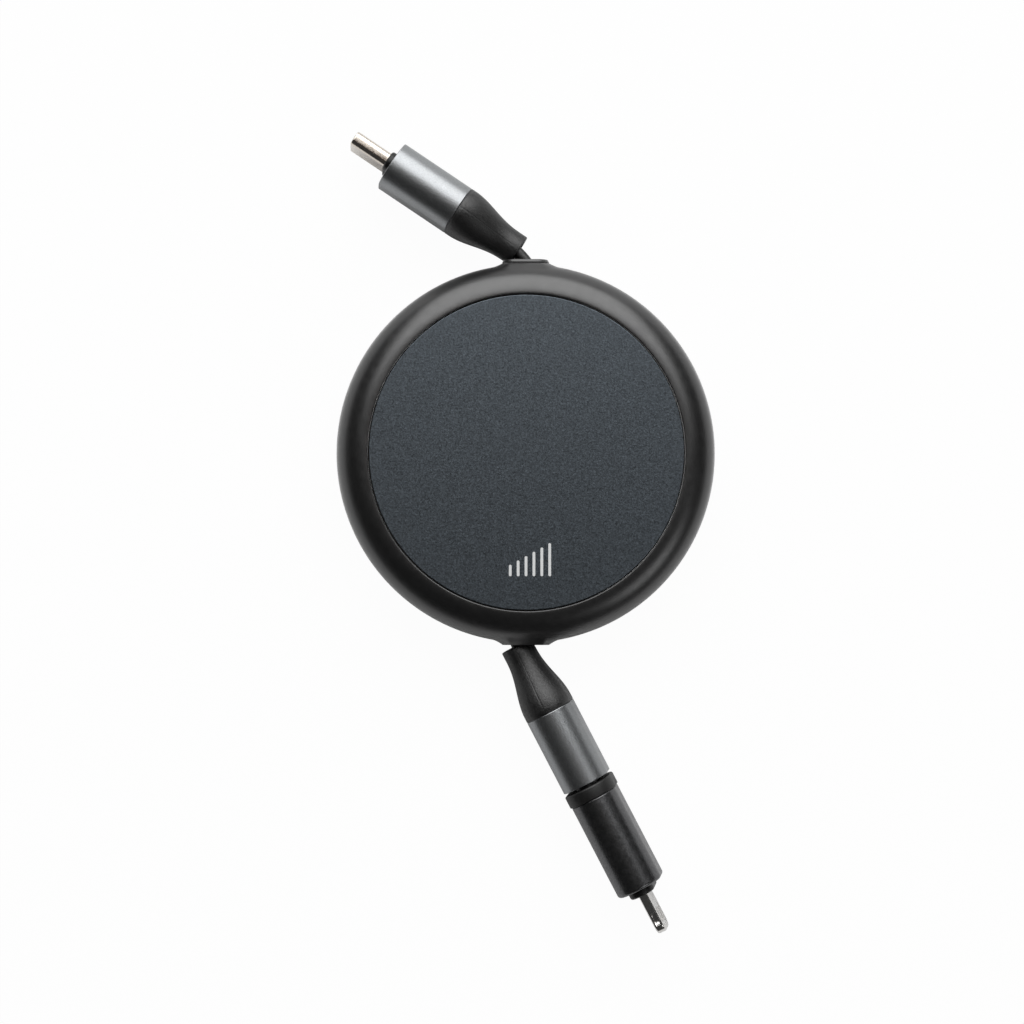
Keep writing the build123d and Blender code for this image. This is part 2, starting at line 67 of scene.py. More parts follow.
JOINTS = {joint["name"]: joint for joint in frame["joints"]}
LEAD_LEVEL = JOINTS["upper_pull"]["pos_m"][2]  # height at which both leads leave the housing
UP = Vector((0, 0, 1))
TINY = 1e-7
MICRON = 1e-6
NOISE_RANGE = (0.3, 0.7)  # where most values of a noise lie
BAR_POINTS = 64  # points round a bar that cuts
FLAT_POINTS = 32  # points round a stroke, a flat lead or its passage
LIP_POINTS = 96  # points round a grommet
LIP_LEAN = 155  # where a lip's sloped side meets its round front edge, in degrees
LIP_ROUND = 1 / 5  # that round edge, as a share of the lip's thickness


# Settings

def length(name, default, description):
    """A length setting, in metres."""
    return FloatProperty(name=name, description=description, default=default, unit="LENGTH", precision=6)


def angle(name, default, description):
    """An angle setting, given in degrees."""
    return FloatProperty(name=name, description=description, default=radians(default), subtype="ANGLE")


def colour(name, default, description):
    """A colour setting, in linear light."""
    return FloatVectorProperty(
        name=name, description=description, default=default, size=3, subtype="COLOR", min=0, max=1
    )


def place(name, default, description):
    """A point setting, in metres."""
    return FloatVectorProperty(
        name=name, description=description, default=default, size=3, subtype="XYZ", unit="LENGTH", precision=6
    )


def amount(name, default, description, unit="NONE"):
    """A number setting, plain or in a unit of its own."""
    return FloatProperty(name=name, description=description, default=default, unit=unit, precision=4)


def fraction(name, default, description):
    """A setting that is a share of a whole."""
    return FloatProperty(name=name, description=description, default=default, subtype="FACTOR", min=0, max=1)


def count(name, default, description):
    """A whole number setting."""
    return IntProperty(name=name, description=description, default=default, min=1)


class CableHousingSizes(bpy.types.PropertyGroup):
    """Sizes of the housing's shells that the frame doesn't give"""

    plate_gap: length("Plate gap", 0.0002, "Groove between the face plate and the rim")
    rim_round: length("Rim round", 0.00016, "Round on the rim's inner edge")
    plate_round: length("Plate round", 0.0001, "Round on the face plate's edge")
    seam_gap: length("Seam gap", 0.00005, "Half of the fine gap between the covers")
    reel_gap: length("Reel gap", 0.0004, "Room round the spool's flanges")
    floor: length("Floor", 0.0016, "Thickness of the rear cover's floor")
    thrust_radius: length("Thrust ring radius", 0.005, "Ring that carries the spool")
    thrust_height: length("Thrust ring height", 0.0009, "Height of that ring over the floor")
    arbor_radius: length("Arbor radius", 0.0026, "Post that the spool turns on")
    screw_hole: length("Screw hole", 0.00105, "Radius of the centre screw's hole")
    head_hole: length("Screw head hole", 0.00205, "Radius of the screw head's recess")
    head_depth: length("Screw head depth", 0.00105, "Depth of the screw head's recess")
    boss_width: length("Mouth face width", 0.0078, "Flat face of a cable mouth, across")
    boss_height: length("Mouth face height", 0.0089, "Flat face of a cable mouth, upwards")
    boss_corner: length("Mouth face corner", 0.0022, "Corner radius of that face")
    boss_flare: length("Mouth flare", 0.0017, "How far the mouth eases into the rim")
    upper_proud: length("Upper mouth proud", 0.00018, "How far the upper mouth's face stands out of the wall")
    lower_proud: length("Lower mouth proud", 0.00035, "How far the lower mouth's face stands out of the wall")
    throat_corner: length("Throat corner", 0.0020, "Corner radius of the grommet's seat")
    passage_width: length("Passage width", 0.0200, "Inner end of the lead's passage, across")
    passage_height: length("Passage height", 0.0056, "Lead's passage, upwards")
    passage_start: length("Passage start", 0.0244, "Inner end of the passage, from the axis")
    lip_inset: length("Grommet neck inset", 0.0002, "Lip's overhang over its neck")
    lip_gap: length("Grommet lip gap", 0.00011, "Groove between the upper lip and its mouth")
    upper_lip: length("Upper lip", 0.0005, "Thickness of the upper grommet's lip")
    lower_lip: length("Lower lip", 0.0001, "Thickness of the lower grommet's lip, sunk flush in its mouth")
    lip_slope: length("Lip slope", 0.0002, "How far a lip narrows towards its front")
    bore_width: length("Grommet bore width", 0.0063, "Opening for the lead, across")
    bore_corner: length("Grommet bore corner", 0.0016, "Corner radius of that opening")
    points: count("Round points", 720, "Points round the housing")


class CablePlugSizes(bpy.types.PropertyGroup):
    """Sizes of the plugs and leads that the frame doesn't give"""

    upper_roll: angle("Upper roll", 2.0, "Turn of the upper plug about its own axis")
    lower_roll: angle("Lower roll", 9.0, "Turn of the lower plug about its own axis")
    upper_turn: place("Upper turn", (0.0017, 0.0283, 0.0062), "Where the upper lead turns in its mouth")
    lower_turn: place("Lower turn", (-0.0022, -0.0279, 0.0062), "Where the lower lead turns in its mouth")
    narrow_width: length("Relief narrow width", 0.0051, "Width of a relief's narrow end")
    narrow_height: length("Relief narrow height", 0.0062, "Height of a relief's narrow end")
    straight: length("Relief straight", 0.0015, "Plain run at a relief's narrow end")
    shoulder: length("Relief shoulder", 0.0008, "Plain run at its wide end")
    relief_length: length("Relief length", 0.0116, "Length of the taper outside the sleeve")
    ease: amount("Relief ease", 1.1, "How late a relief widens")
    relief_edge: length("Relief edge", 0.00018, "Round on the narrow end's rim")
    pocket_width: length("Relief pocket width", 0.0031, "Slot for the lead, across")
    pocket_height: length("Relief pocket height", 0.0051, "Slot for the lead, upwards")
    pocket_corner: length("Relief pocket corner", 0.0005, "Corner radius of that slot")
    pocket_depth: length("Relief pocket depth", 0.004, "Depth of that slot")
    pocket_end_gap: length("Relief pocket end gap", 0.0001, "Room behind the lead's end")
    parting_width: length("Parting line", 0.0001, "Width of the moulded line along a relief")
    parting_depth: length("Parting depth", 0.00002, "Depth of that line")
    fit_gap: length("Fit gap", 0.00003, "Fine gap between pieces that fit together")
    sleeve_wall: length("Sleeve wall", 0.0006, "Wall of a sleeve")
    sleeve_edge: length("Sleeve edge", 0.00014, "Round on a sleeve's ends")
    boss_length: length("Step length", 0.0009, "How far the step stands out of its sleeve")
    boss_width: length("Step width", 0.0033, "Width of that step")
    boss_height: length("Step height", 0.0096, "Height of that step")
    boss_edge: length("Step edge", 0.0004, "Round on the step")
    tip_wall: length("Tip wall", 0.0003, "Wall of the metal tip")
    tip_edge: length("Tip edge", 0.0002, "Round on the tip's mouth")
    tip_corner: length("Tip corner", 0.00095, "Round on the narrow sides of the tip")
    lead_thickness: length("Lead thickness", 0.0018, "Thin side of the flat cable")
    lead_width: length("Lead width", 0.0046, "Wide side of the flat cable")
    lead_corner: length("Lead corner", 0.0008, "Round on the flat cable's edges")
    lay_gap: length("Lay gap", 0.00005, "Room between a lead and the wound cable")
    points: count("Oval points", 96, "Points round an oval piece")


class CableAdapterSizes(bpy.types.PropertyGroup):
    """Sizes of the push-on adapter that the frame doesn't give"""

    collar_length: length("Collar length", 0.00205, "Length of the collar's band")
    collar_edge: length("Collar edge", 0.0003, "Round on the collar's band")
    bore_margin: length("Collar bore margin", 0.0003, "Room round the plug's step in the collar")
    body_wall: length("Body wall", 0.00055, "Wall of the adapter's body")
    end_wall: length("End wall", 0.0012, "Thickness of the body's far end")
    body_edge: length("Body edge", 0.00055, "Round on the body's far end")
    seam_edge: length("Body seam edge", 0.00025, "Round on the body's end at the collar")
    flange: length("Tip flange", 0.0011, "Thickness of the tip step's flange in the body")
    step_width: length("Tip step width", 0.0042, "Width of the step that carries the blade")
    step_height: length("Tip step height", 0.0094, "Height of that step")
    step_edge: length("Tip step edge", 0.0004, "Round on the step that carries the blade")
    blade_seat: length("Blade seat", 0.0016, "How deep the blade sits in its step")
    blade_corner: length("Blade corner", 0.0015, "Corner radius of the blade's outline")
    blade_edge: length("Blade edge", 0.0003, "Round along the blade's edges")
    notch_radius: length("Notch radius", 0.0018, "Radius of the catch notches")
    notch_depth: length("Notch depth", 0.00045, "Depth of the catch notches")
    notch_width: length("Notch width", 0.0007, "Width of a notch across the edge")
    notch_from_tip: length("Notch from tip", 0.0024, "Middle of a notch, from the blade's end")
    window_corner: length("Window corner", 0.00085, "Corner radius of the blade's contact window")


class CableColours(bpy.types.PropertyGroup):
    """Colours of the finishes"""

    housing: colour("Housing", (0.0042, 0.0042, 0.0044), "Moulded covers and grommets")
    plate: colour("Plate", (0.132, 0.154, 0.175), "Fine-grained face plate")
    mark: colour("Mark", (0.82, 0.83, 0.83), "Printed level mark")
    sleeve: colour("Sleeve", (0.352, 0.363, 0.372), "Fine-grained plug sleeves")
    relief: colour("Relief", (0.005, 0.005, 0.005), "Soft reliefs and leads")
    adapter: colour("Adapter", (0.155, 0.156, 0.16), "Satin adapter")
    tip: colour("Tip", (0.8, 0.735, 0.66), "Polished oval tips")
    blade: colour("Blade", (0.9, 0.885, 0.86), "Plated flat blade")
    gold: colour("Contacts", (0.75, 0.55, 0.24), "Contact strips and pads")
    steel: colour("Steel", (0.6, 0.6, 0.6), "Screw, ball and spring")
    board: colour("Board", (0.03, 0.16, 0.07), "Circuit boards")
    insert: colour("Insert", (0.82, 0.82, 0.81), "Insulator in the blade's window")
    inner: colour("Inner moulding", (0.05, 0.05, 0.053), "Spool, insulators and chips")


class CableStage(bpy.types.PropertyGroup):
    """Camera, light and floor"""

    camera_place: place("Camera", (-0.016, -0.022, 0.556), "Where the camera stands")
    camera_aim: place("Aim", (-0.00213, -0.00923, 0.0062), "Middle of the view")
    lens: amount("Lens", 121.4, "Focal length of the camera", unit="CAMERA")
    key_place: place("Key place", (0.03, 0.575, 0.52), "Large softbox beyond the upper plug")
    key_width: length("Key width", 1.1, "Width of that softbox")
    key_height: length("Key height", 0.95, "Height of that softbox")
    key_power: amount("Key power", 9.2, "Power of that softbox", unit="POWER")
    side_place: place("Side place", (0.5, -0.42, 0.52), "Small softbox on the lower right")
    side_width: length("Side width", 0.32, "Width and height of that softbox")
    side_power: amount("Side power", 0.6, "Power of that softbox", unit="POWER")
    top_place: place("Top place", (-0.05, 0.19, 1.1), "Small warm softbox overhead")
    top_width: length("Top width", 0.4, "Width and height of that softbox")
    top_power: amount("Top power", 0.045, "Power of that softbox", unit="POWER")
    top_colour: colour("Top colour", (1.0, 0.72, 0.52), "Colour of that softbox")
    floor_size: length("Floor size", 8, "Width of the floor")
    floor_drop: length("Floor drop", 0.00002, "How far the floor lies under the object")
    paper: colour("Paper", (0.9, 0.9, 0.9), "The floor's own colour")
    ambient: amount("Ambient", 0.035, "Plain light from all round")
    shadow: fraction("Shadow", 0.03, "How much of the floor's shadow the camera sees")
    reflection: fraction("Reflection", 0.1, "How much of the floor's white shows in reflections")


# Modelling helpers

def start_fresh():
    """Leaves edit mode and deselects every object."""
    if bpy.context.mode != "OBJECT":
        bpy.ops.object.mode_set(mode="OBJECT")
    bpy.ops.object.select_all(action="DESELECT")


def take(piece):
    """Makes one object the only selected one, and the active one."""
    start_fresh()
    piece.select_set(True)
    bpy.context.view_layer.objects.active = piece


def edit(piece, mode="VERT"):
    """Opens a piece in edit mode with nothing selected."""
    take(piece)
    bpy.ops.object.mode_set(mode="EDIT")
    bpy.ops.mesh.select_mode(type=mode)
    bpy.ops.mesh.select_all(action="DESELECT")


def pick_points(piece, test):
    """In edit mode, selects the vertices that pass a test of their place."""
    bpy.ops.mesh.select_all(action="DESELECT")
    mesh = bmesh.from_edit_mesh(piece.data)
    for vertex in mesh.verts:
        vertex.select = test(vertex.co)
    mesh.select_flush(True)
    bmesh.update_edit_mesh(piece.data)


def pick_edges(piece, test):
    """In edit mode, selects the edges whose two ends pass a test of their place."""
    bpy.ops.mesh.select_all(action="DESELECT")
    mesh = bmesh.from_edit_mesh(piece.data)
    for edge in mesh.edges:
        edge.select = test(edge.verts[0].co) and test(edge.verts[1].co)
    bmesh.update_edit_mesh(piece.data)


def face_outwards():
    """In edit mode, turns every face outwards."""
    bpy.ops.mesh.select_all(action="SELECT")
    bpy.ops.mesh.normals_make_consistent(inside=False)


def arc(centre, radius, start, end, steps):
    """Points along an arc in a profile, from one angle to another, in degrees."""
    turns = [radians(start + (end - start) * step / steps) for step in range(steps + 1)]
    return [(centre[0] + radius * cos(turn), centre[1] + radius * sin(turn)) for turn in turns]


def run(start, end, steps):
    """Points along a straight stretch of a profile."""
    shares = [step / steps for step in range(steps + 1)]
    return [tuple(a + (b - a) * share for a, b in zip(start, end)) for share in shares]


class Rings:
    """A skin that grows ring by ring along +Z. Each ring is a rectangle with round corners."""

    def __init__(self, name, width, height, corner, along, points, capped=True):
        start_fresh()
        fill = "NGON" if capped else "NOTHING"
        bpy.ops.mesh.primitive_circle_add(vertices=points, radius=corner, fill_type=fill)
        self.piece = bpy.context.object
        self.piece.name = name
        self.corner = corner
        self.straight = [0.0, 0.0]
        self.along = 0.0
        bpy.ops.object.mode_set(mode="EDIT")
        bpy.ops.mesh.select_mode(type="VERT")
        bpy.ops.mesh.select_all(action="SELECT")
        self.remember()
        self.first = self.ring
        self.outline = (width, height, corner)
        self.shape(width, height, corner, along)

    def remember(self):
        """Notes which vertices are the newest ring."""
        mesh = bmesh.from_edit_mesh(self.piece.data)
        mesh.verts.index_update()
        self.ring = [vertex.index for vertex in mesh.verts if vertex.select]

    def pick(self, indices, test=None):
        """Selects these vertices, or those of them that pass a test of their place."""
        bpy.ops.mesh.select_all(action="DESELECT")
        mesh = bmesh.from_edit_mesh(self.piece.data)
        mesh.verts.ensure_lookup_table()
        for index in indices:
            vertex = mesh.verts[index]
            vertex.select = test is None or test(vertex.co)
        mesh.select_flush(True)
        bmesh.update_edit_mesh(self.piece.data)

    def shape(self, width, height, corner, along):
        """Moves the newest ring to its place and size."""
        grow = corner / self.corner
        bpy.ops.transform.translate(value=(0, 0, along - self.along))
        if abs(grow - 1) > TINY:
            bpy.ops.transform.resize(value=(grow, grow, 1), center_override=(0, 0, along))
        for axis, size in enumerate((width, height)):
            straight = size / 2 - corner
            shift = straight - grow * self.straight[axis]
            self.straight[axis] = straight
            if abs(shift) < TINY:
                continue
            for side in (-1, 1):
                self.pick(self.ring, lambda spot: side * spot[axis] > TINY)
                move = [0, 0, 0]
                move[axis] = side * shift
                bpy.ops.transform.translate(value=move)
        self.corner = corner
        self.along = along

    def to(self, width, height, corner, along):
        """Grows the skin to a ring of this size at this place."""
        self.pick(self.ring)
        bpy.ops.mesh.extrude_region()
        self.remember()
        self.shape(width, height, corner, along)

    def oval(self, width, height, along):
        """Grows the skin to an oval ring with flat sides."""
        self.to(width, height, width / 2, along)

    def follow(self, profile):
        """Grows the skin through (inset, along) points, measured from its outline."""
        width, height, corner = self.outline
        for inset, along in profile:
            self.to(width - 2 * inset, height - 2 * inset, corner - inset, along)

    def turn(self, profile):
        """Grows a round skin through (radius, level) points."""
        for radius, level in profile:
            self.to(2 * radius, 2 * radius, radius, level)

    def closed(self):
        """The finished piece, with its last ring bridged back to the first."""
        self.pick(self.first + self.ring)
        bpy.ops.mesh.bridge_edge_loops()
        return self.done()

    def done(self):
        """The finished piece, in object mode, with its faces outwards."""
        face_outwards()
        start_fresh()
        return self.piece


def bar(name, section, start, end, points):
    """A straight bar along +Z, whose section is a rectangle with round corners."""
    skin = Rings(name, *section, start, points)
    skin.to(*section, end)
    return skin.done()


def use_modifier(piece, kind, **settings):
    """Adds a modifier to a piece and applies it."""
    take(piece)
    modifier = piece.modifiers.new(kind.lower(), kind)
    for setting, value in settings.items():
        setattr(modifier, setting, value)
    bpy.ops.object.modifier_apply(modifier=modifier.name)


def cut(piece, cutter):
    """Takes a cutter's shape out of a piece, and deletes the cutter."""
    use_modifier(piece, "BOOLEAN", operation="DIFFERENCE", solver="EXACT", object=cutter)
    bpy.data.objects.remove(cutter)


def settle(piece, where=Matrix.Identity(4), smooth=35):
    """Applies a piece's place, and shades it smooth apart from its sharp edges."""
    piece.matrix_world = where
    take(piece)
    bpy.ops.object.transform_apply(location=True, rotation=True, scale=True)
    bpy.ops.object.shade_smooth_by_angle(angle=radians(smooth))
    use_modifier(piece, "WEIGHTED_NORMAL", keep_sharp=True, weight=80)
    return piece


def coat(piece, finish):
    """Gives a piece one finish all over."""
    piece.data.materials.clear()
    piece.data.materials.append(finish)


def dress(piece, finish, body, slot, *nodes):
    """Gives a piece its finish, hides the CAD nodes that it stands for, and ties it to its CAD body."""
    coat(piece, finish)
    if nodes:
        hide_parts(*nodes)
    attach(piece, body)


def plug_frame(joint, roll):
    """A plug's own frame: origin at its relief's narrow end, +Z along its axis, +Y upwards, then rolled."""
    ahead = Vector(JOINTS[joint]["axis"]).normalized()
    across = UP.cross(ahead)
    turned = Matrix((across, UP, ahead)).transposed().to_4x4()
    return Matrix.Translation(JOINTS[joint]["pos_m"]) @ turned @ Matrix.Rotation(roll, 4, "Z")


def mouth_frame(end):
    """A mouth's own frame: +Z out of the housing, +Y upwards. end is 1 at the upper mouth and -1 below."""
    turned = Matrix(((-end, 0, 0), (0, 0, end), (0, 1, 0))).to_4x4()
    return Matrix.Translation((0, 0, LEAD_LEVEL)) @ turned


def local_box(node, where):
    """A CAD node's lowest and highest corners, measured in a frame of its own."""
    back = where.inverted()
    points = [back @ vertex.co for vertex in frame["nodes"][node].data.vertices]
    low = Vector([min(point[axis] for point in points) for axis in range(3)])
    high = Vector([max(point[axis] for point in points) for axis in range(3)])
    return low, high


def local_size(node, where):
    """A CAD node's width and height, and its start and end along its own axis."""
    low, high = local_box(node, where)
    return high.x - low.x, high.y - low.y, low.z, high.z


def plugs():
    """Each plug's name, body and own frame."""
    sizes = bpy.context.scene.cable_plug
    return (
        ("upper", "upper_plug", plug_frame("upper_pull", sizes.upper_roll)),
        ("lower", "lower_plug", plug_frame("lower_pull", sizes.lower_roll)),
    )


# Finishes

def grain(finish, scale, detail=2.0, rough=0.5):
    """Noise on the object's own coordinates, with this many cells a metre."""
    nodes = finish.node_tree.nodes
    spot = nodes.new("ShaderNodeTexCoord")
    noise = nodes.new("ShaderNodeTexNoise")
    noise.inputs["Scale"].default_value = scale
    noise.inputs["Detail"].default_value = detail
    noise.inputs["Roughness"].default_value = rough
    finish.node_tree.links.new(spot.outputs["Object"], noise.inputs["Vector"])
    return noise.outputs["Fac"]


def tint(finish, pattern, base, spread):
    """Lets the base colour vary by a share of itself with a pattern."""
    nodes = finish.node_tree.nodes
    ramp = nodes.new("ShaderNodeValToRGB")
    dark, light = ramp.color_ramp.elements
    dark.position, light.position = NOISE_RANGE
    dark.color = [channel * (1 - spread) for channel in base] + [1]
    light.color = [channel * (1 + spread) for channel in base] + [1]
    finish.node_tree.links.new(pattern, ramp.inputs["Fac"])
    finish.node_tree.links.new(ramp.outputs["Color"], nodes["Principled BSDF"].inputs["Base Color"])


def roughen(finish, pattern, low, high):
    """Lets the roughness vary between two values with a pattern."""
    nodes = finish.node_tree.nodes
    scale = nodes.new("ShaderNodeMapRange")
    scale.inputs["From Min"].default_value, scale.inputs["From Max"].default_value = NOISE_RANGE
    scale.inputs["To Min"].default_value = low
    scale.inputs["To Max"].default_value = high
    finish.node_tree.links.new(pattern, scale.inputs["Value"])
    finish.node_tree.links.new(scale.outputs["Result"], nodes["Principled BSDF"].inputs["Roughness"])


def emboss(finish, pattern, depth):
    """Lets a pattern raise the surface by up to a depth, in metres."""
    nodes = finish.node_tree.nodes
    bump = nodes.new("ShaderNodeBump")
    bump.inputs["Strength"].default_value = 1
    bump.inputs["Distance"].default_value = depth
    finish.node_tree.links.new(pattern, bump.inputs["Height"])
    finish.node_tree.links.new(bump.outputs["Normal"], nodes["Principled BSDF"].inputs["Normal"])


def build_finish(name, base, spread, rough, fine, wide=None, bump=0, **sockets):
    """A material that follows a fine grain, with wider patches for its roughness if it has them."""
    finish = bpy.data.materials.new(name)
    finish.use_nodes = True
    shader = finish.node_tree.nodes["Principled BSDF"]
    for socket, value in sockets.items():
        shader.inputs[socket.replace("_", " ")].default_value = value
    pattern = grain(finish, *fine)
    tint(finish, pattern, getattr(bpy.context.scene.cable_colours, base), spread)
    roughen(finish, grain(finish, *wide) if wide else pattern, *rough)
    if bump:
        emboss(finish, pattern, bump * MICRON)
    return finish


# For each finish: its colour setting and the share by which that varies, its range of roughness, its fine
# grain and wider patches (cells a metre, detail, harshness), its bump in micrometres, and the shader's
# sockets that are the same all over.
FINISHES = {
    # Fine matte black moulding with a faint sheen
    "housing_moulding": dict(
        base="housing", spread=0.25, rough=(0.31, 0.37), fine=(5200, 3), wide=(900,), bump=4,
        IOR=1.85, Sheen_Weight=1, Sheen_Roughness=0.3,
    ),
    # Dark grey plate with a fine blasted grain
    "plate_grain": dict(
        base="plate", spread=0.6, rough=(0.30, 0.40), fine=(3600, 5, 0.75), wide=(2400, 3), bump=10,
        Metallic=1,
    ),
    # Thin white print
    "mark_print": dict(base="mark", spread=0.04, rough=(0.5, 0.6), fine=(6000,)),
    # Blue-grey metal with a fine blasted grain
    "sleeve_grain": dict(
        base="sleeve", spread=0.14, rough=(0.34, 0.40), fine=(4200, 4, 0.7), wide=(2600, 3), bump=20,
        Metallic=1,
    ),
    # Soft black moulding with an eroded surface
    "relief_moulding": dict(
        base="relief", spread=0.5, rough=(0.26, 0.56), fine=(3400, 4, 0.8), bump=60, IOR=1.7
    ),
    # Smooth black cable jacket
    "lead_jacket": dict(base="relief", spread=0.2, rough=(0.38, 0.48), fine=(3000, 3), bump=6, IOR=1.65),
    # Dark satin metal of the adapter's body
    "adapter_satin": dict(
        base="adapter", spread=0.2, rough=(0.28, 0.36), fine=(3200, 4, 0.65), wide=(1500,), bump=10,
        Metallic=1,
    ),
    # Matte black moulding of the adapter's collar
    "collar_matte": dict(
        base="relief", spread=0.3, rough=(0.44, 0.52), fine=(3200, 4, 0.65), wide=(1500,), bump=10, IOR=1.6
    ),
    # Plain black of the steps that carry the tips
    "step_black": dict(base="housing", spread=0.2, rough=(0.34, 0.44), fine=(4000,), IOR=1.5),
    # Polished oval tips and the pale blade, with faint drawing marks
    "tip_plating": dict(base="tip", spread=0.05, rough=(0.15, 0.21), fine=(1600, 3), bump=2, Metallic=1),
    "blade_plating": dict(base="blade", spread=0.06, rough=(0.16, 0.22), fine=(2200, 3), bump=2, Metallic=1),
    # Inner pieces, with a slight variation
    "steel": dict(base="steel", spread=0.12, rough=(0.22, 0.32), fine=(2500,), Metallic=1),
    "contact_gold": dict(base="gold", spread=0.12, rough=(0.2, 0.3), fine=(2500,), Metallic=1),
    "board_lacquer": dict(base="board", spread=0.12, rough=(0.35, 0.5), fine=(2500,)),
    "inner_moulding": dict(base="inner", spread=0.12, rough=(0.4, 0.55), fine=(2500,)),
    "blade_insert": dict(base="insert", spread=0.12, rough=(0.18, 0.26), fine=(2500,)),
}


def make_finish(name):
    """A new material for the finish of this name."""
    return build_finish(name, **FINISHES[name])


# Housing pieces

def raise_mouths(cover, sizes):
    """Draws the rim out to the flat face of each cable mouth, easing into the round."""
    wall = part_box("rear_cover")[1].x
    outer = wall - 2 * sizes.boss_flare

    def on_face(spot):
        side = max(abs(spot.x) - sizes.boss_width / 2 + sizes.boss_corner, 0)
        rise = max(abs(spot.z - LEAD_LEVEL) - sizes.boss_height / 2 + sizes.boss_corner, 0)
        return side ** 2 + rise ** 2 < sizes.boss_corner ** 2

    edit(cover)
    for end, proud in ((1, sizes.upper_proud), (-1, sizes.lower_proud)):
        reach = wall + proud
        pick_points(cover, lambda spot: end * spot.y > outer and on_face(spot))
        bpy.ops.transform.resize(
            value=(1, 0, 1),
            center_override=(0, end * reach, LEAD_LEVEL),
            use_proportional_edit=True,
            proportional_edit_falloff="SHARP",
            proportional_size=sizes.boss_flare,
        )
    start_fresh()


def open_mouths(cover, sizes):
    """Cuts each grommet's seat and the lead's flared passage behind it."""
    for name, end in (("upper", 1), ("lower", -1)):
        width, height, start, face = local_size(f"{name}_grommet", mouth_frame(end))
        neck = 2 * sizes.lip_inset
        section = (width - neck, height - neck, sizes.throat_corner)
        seat = bar("seat_cutter", section, start - sizes.reel_gap, face + sizes.lip_gap, BAR_POINTS)
        corner = sizes.reel_gap
        inner = (sizes.passage_width, sizes.passage_height, corner)
        wedge = Rings("passage_cutter", *inner, sizes.passage_start, FLAT_POINTS)
        wedge.to(width - neck, sizes.passage_height, corner, start)
        for cutter in (seat, wedge.done()):
            cutter.matrix_world = mouth_frame(end)
            cut(cover, cutter)


def complete_cover(cover, node, sizes):
    """Adds the mouths to a cover's round shell, and gives it its finish and body."""
    raise_mouths(cover, sizes)
    open_mouths(cover, sizes)
    settle(cover)
    dress(cover, make_finish("housing_moulding"), "housing", "housing", node)


class CABLE_OT_front_cover(bpy.types.Operator):
    """Model the front cover: the rounded rim, the plate's seat and the upper half of the mouths"""

    bl_idname = "cable.front_cover"
    bl_label = "Front cover"

    def execute(self, context):
        sizes = context.scene.cable_housing
        low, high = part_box("front_cover")
        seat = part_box("plate_tape")[0].z
        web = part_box("spool_cover")[1].z + sizes.reel_gap
        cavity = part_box("spool")[1].x + sizes.reel_gap
        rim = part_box("face_plate")[1].x + sizes.plate_gap
        radius = high.x
        seam = low.z + sizes.seam_gap
        edge = sizes.rim_round
        bend = radius - rim
        wall = high.z - bend
        crest = acos(edge / (bend - edge))
        edge_middle = (rim + edge, wall + (bend - edge) * sin(crest))
        profile = run((radius, seam), (radius, wall), steps=8)
        profile += arc((rim, wall), bend, 0, degrees(crest), steps=26)[1:]
        profile += arc(edge_middle, edge, degrees(crest), 180, steps=6)[1:]
        head_floor = seat - sizes.head_depth
        profile += [(rim, seat), (sizes.head_hole, seat), (sizes.head_hole, head_floor)]
        profile += [(sizes.screw_hole, head_floor), (sizes.screw_hole, web), (cavity, web), (cavity, seam)]
        skin = Rings("front_cover_shell", 2 * radius, 2 * radius, radius, seam, sizes.points, capped=False)
        skin.turn(profile[1:])
        complete_cover(skin.closed(), "front_cover", sizes)
        return {"FINISHED"}


class CABLE_OT_rear_cover(bpy.types.Operator):
    """Model the rear cover: the rest face, the lower rim, the arbor and the lower half of the mouths"""

    bl_idname = "cable.rear_cover"
    bl_label = "Rear cover"

    def execute(self, context):
        sizes = context.scene.cable_housing
        low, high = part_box("rear_cover")
        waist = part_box("front_cover")[0].z
        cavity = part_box("spool")[1].x + sizes.reel_gap
        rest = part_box("face_plate")[1].x + sizes.plate_gap
        radius = high.x
        seam = waist - sizes.seam_gap
        bend = radius - rest
        profile = arc((rest, low.z + bend), bend, -90, 0, steps=26)
        profile += run((radius, low.z + bend), (radius, seam), steps=4)[1:]
        floor = low.z + sizes.floor
        thrust = floor + sizes.thrust_height
        profile += [(cavity, seam), (cavity, floor), (sizes.thrust_radius, floor)]
        profile += [(sizes.thrust_radius, thrust), (sizes.arbor_radius, thrust), (sizes.arbor_radius, high.z)]
        profile += [(sizes.screw_hole, high.z), (sizes.screw_hole, thrust)]
        start = sizes.thrust_radius
        skin = Rings("rear_cover_shell", 2 * start, 2 * start, start, low.z, sizes.points)
        skin.turn(profile)
        complete_cover(skin.done(), "rear_cover", sizes)
        return {"FINISHED"}


class CABLE_OT_face_plate(bpy.types.Operator):
    """Model the face plate with its fine round edge"""

    bl_idname = "cable.face_plate"
    bl_label = "Face plate"

    def execute(self, context):
        sizes = context.scene.cable_housing
        low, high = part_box("face_plate")
        radius = high.x
        edge = sizes.plate_round
        skin = Rings("face_plate_disc", 2 * radius, 2 * radius, radius, low.z, sizes.points)
        skin.turn(arc((radius - edge, high.z - edge), edge, 0, 90, steps=4))
        dress(settle(skin.done()), make_finish("plate_grain"), "housing", "plate", "face_plate")
        return {"FINISHED"}


